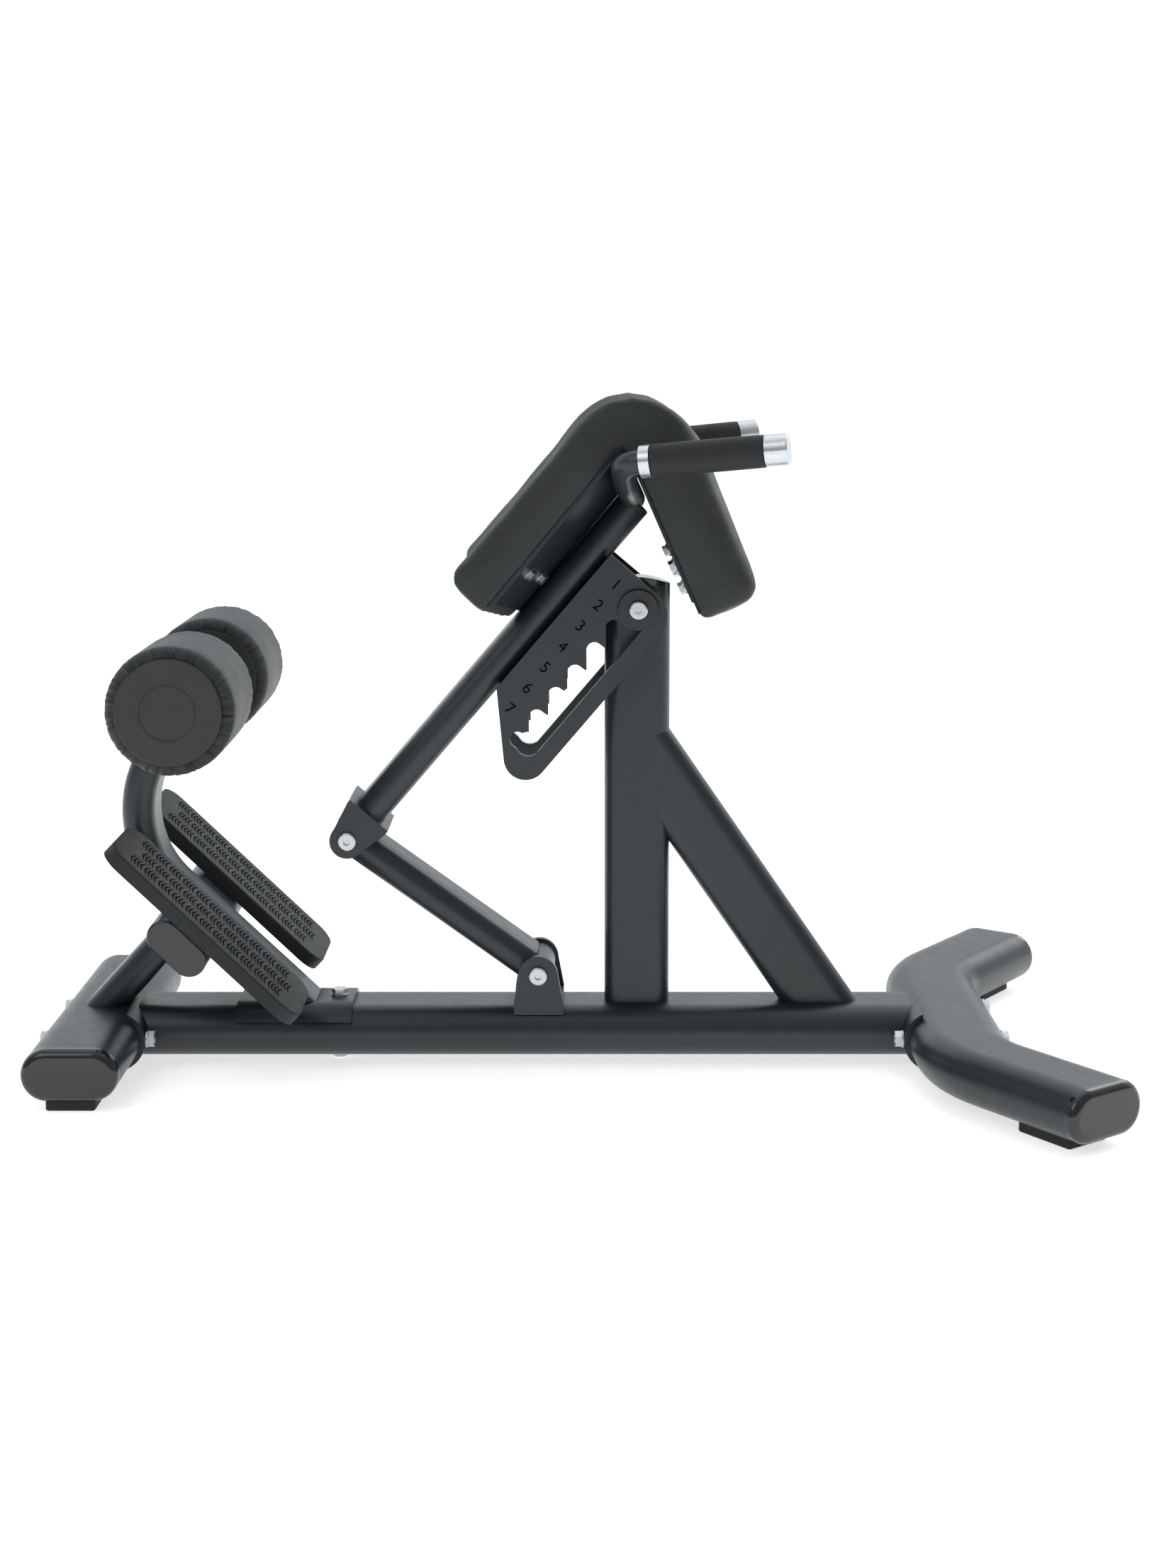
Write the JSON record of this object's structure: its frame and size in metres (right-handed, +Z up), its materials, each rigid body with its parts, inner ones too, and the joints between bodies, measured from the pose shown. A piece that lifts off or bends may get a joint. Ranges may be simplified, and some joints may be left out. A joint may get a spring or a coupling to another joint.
{
  "type": "roman chair",
  "caption": "Floor-standing back-extension bench with bent thigh pads and hand grips on a notched height lever, ankle rollers and sloping footplates",
  "frame": {"origin": "on the floor below the middle of the machine's bounding box", "axes": "+X runs from the ankle rollers to the forked front foot, +Y across the machine, +Z up"},
  "size_m": [1.2815, 0.7502, 0.8276],
  "materials": {
    "frame_paint": "satin black powder coat",
    "cap_plastic": "glossy black moulded end caps",
    "black_plastic": "fine matt black moulding",
    "rubber": "matt black rubber",
    "vinyl": "fine-grained black upholstery vinyl",
    "aluminium": "brushed aluminium",
    "zinc_steel": "bright zinc-plated steel"
  },
  "bodies": {
    "base": {"axle_screws": "zinc_steel", "axle_spacers": "zinc_steel", "axle_washers": "zinc_steel", "base_pin": "zinc_steel", "fixed_pin_screws": "zinc_steel", "foot_bolts": "zinc_steel", "foot_flanges": "frame_paint", "footplate_arm_caps": "cap_plastic", "footplate_arms": "frame_paint", "footplate_backs": "zinc_steel", "footplate_bolts": "zinc_steel", "footplate_far": "black_plastic", "footplate_near": "black_plastic", "frame_nuts": "zinc_steel", "frame_washers": "zinc_steel", "front_foot": "frame_paint", "front_foot_caps": "cap_plastic", "front_rubber_feet": "rubber", "link_bracket": "frame_paint", "main_beam": "frame_paint", "mast": "frame_paint", "mast_brace": "frame_paint", "mast_saddle": "frame_paint", "post": "frame_paint", "post_brace": "frame_paint", "post_cap": "cap_plastic", "post_pin": "zinc_steel", "post_pin_discs": "black_plastic", "post_pin_spacers": "zinc_steel", "rear_foot": "frame_paint", "rear_foot_caps": "cap_plastic", "rear_rubber_feet": "rubber", "roller_axle": "zinc_steel", "saddle_bolt": "zinc_steel"},
    "link": {"link": "frame_paint", "link_bushes": "black_plastic"},
    "lever": {"lever": "frame_paint", "lever_clevis": "frame_paint", "elbow_pin": "zinc_steel", "elbow_pin_screws": "zinc_steel", "ladder_plate_near": "frame_paint", "ladder_plate_far": "frame_paint", "ladder_web": "frame_paint", "handle_bar": "frame_paint", "handle_collars": "aluminium", "handle_end_caps": "aluminium", "grip_near": "rubber", "grip_far": "rubber", "thigh_pad_near": "vinyl", "thigh_pad_far": "vinyl", "pad_plate_near": "frame_paint", "pad_plate_far": "frame_paint", "pad_bolts": "zinc_steel"},
    "roller_near": {"roller_pad_near": "vinyl", "roller_core_near": "black_plastic", "roller_discs_near": "black_plastic"},
    "roller_far": {"roller_pad_far": "vinyl", "roller_core_far": "black_plastic", "roller_discs_far": "black_plastic"}
  },
  "joints": [
    {"name": "link_pivot", "type": "hinge", "parent": "base", "child": "link", "pos_m": [-0.03538, 0, 0.116], "axis": [0, 1, 0], "range_deg": [0, 28.5]},
    {"name": "lever_pivot", "type": "hinge", "parent": "link", "child": "lever", "pos_m": [-0.26788, 0, 0.2834], "axis": [0, -1, 0], "range_deg": [0, 33]},
    {"name": "roller_near_spin", "type": "hinge", "parent": "base", "child": "roller_near", "pos_m": [-0.45138, -0.137, 0.469], "axis": [0, 1, 0], "continuous": true},
    {"name": "roller_far_spin", "type": "hinge", "parent": "base", "child": "roller_far", "pos_m": [-0.45138, 0.137, 0.469], "axis": [0, 1, 0], "continuous": true}
  ],
  "couplings": [
    {"joint": "lever_pivot", "follows": "link_pivot", "ratio": 1.15}
  ]
}
